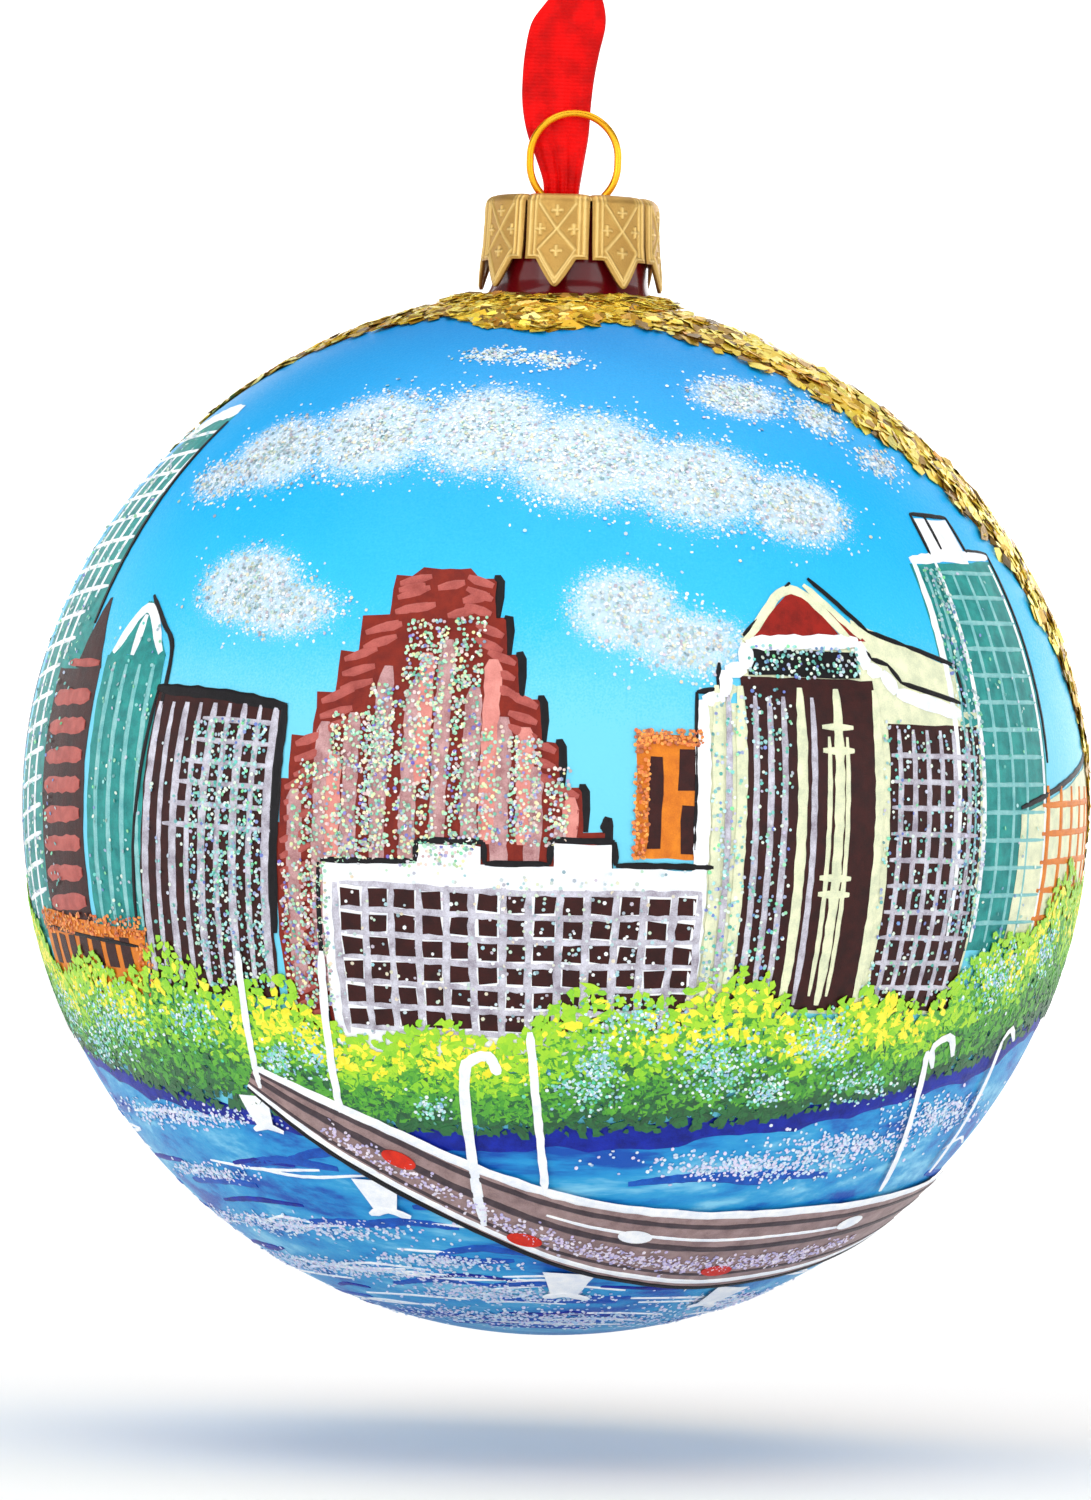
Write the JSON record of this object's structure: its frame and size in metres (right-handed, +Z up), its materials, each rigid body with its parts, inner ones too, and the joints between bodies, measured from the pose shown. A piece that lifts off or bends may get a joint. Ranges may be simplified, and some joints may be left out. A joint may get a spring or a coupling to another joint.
{
  "type": "christmas ornament",
  "caption": "Blown glass ball ornament with a painted skyline, gold flake border, stamped leaf cap, wire ring hanger and knotted red ribbon loop.",
  "frame": {"origin": "where a hook bears, at the inner top of the ribbon's hook loop", "axes": "+Z up along the axis of the neck, the painted picture faces -Y, +X to the viewer's right"},
  "size_m": [0.1009, 0.1002, 0.1419],
  "materials": {
    "lacquered_glass": "opaque glossy dark red lacquer over glass",
    "picture_paint": "hand-painted picture, satin paint with glitter",
    "gold_flakes": "metallised gold flakes set in glue",
    "cap_tin": "stamped sheet, satin gold lacquer",
    "hanger_brass": "drawn wire, bright",
    "ribbon_satin": "woven satin ribbon"
  },
  "bodies": {
    "hook_loop": {"ribbon_hook_loop": "ribbon_satin"},
    "knot": {"ribbon_knot": "ribbon_satin", "ribbon_tails": "ribbon_satin"},
    "hanger": {"hanger_wire": "hanger_brass", "ribbon_strands": "ribbon_satin", "ribbon_hitch": "ribbon_satin"},
    "cap": {"cap": "cap_tin"},
    "ball": {"glass_ball": "lacquered_glass", "picture_coat": "picture_paint", "flake_border": "gold_flakes"}
  },
  "joints": [
    {"name": "swing_fore_aft", "type": "hinge", "parent": "hook_loop", "child": "knot", "pos_m": [0, 0, -0.0027], "axis": [1, 0, 0], "range_deg": [-35, 35]},
    {"name": "swing_side", "type": "hinge", "parent": "knot", "child": "hanger", "pos_m": [0, 0.0004, -0.0113], "axis": [0, 1, 0], "range_deg": [-35, 35]},
    {"name": "ring_lift", "type": "slide", "parent": "hanger", "child": "cap", "axis": [0, 0, -1], "range_m": [0, 0.003]},
    {"name": "ball_turn", "type": "hinge", "parent": "cap", "child": "ball", "pos_m": [0, 0, -0.04], "axis": [0, 0, 1], "continuous": true}
  ]
}
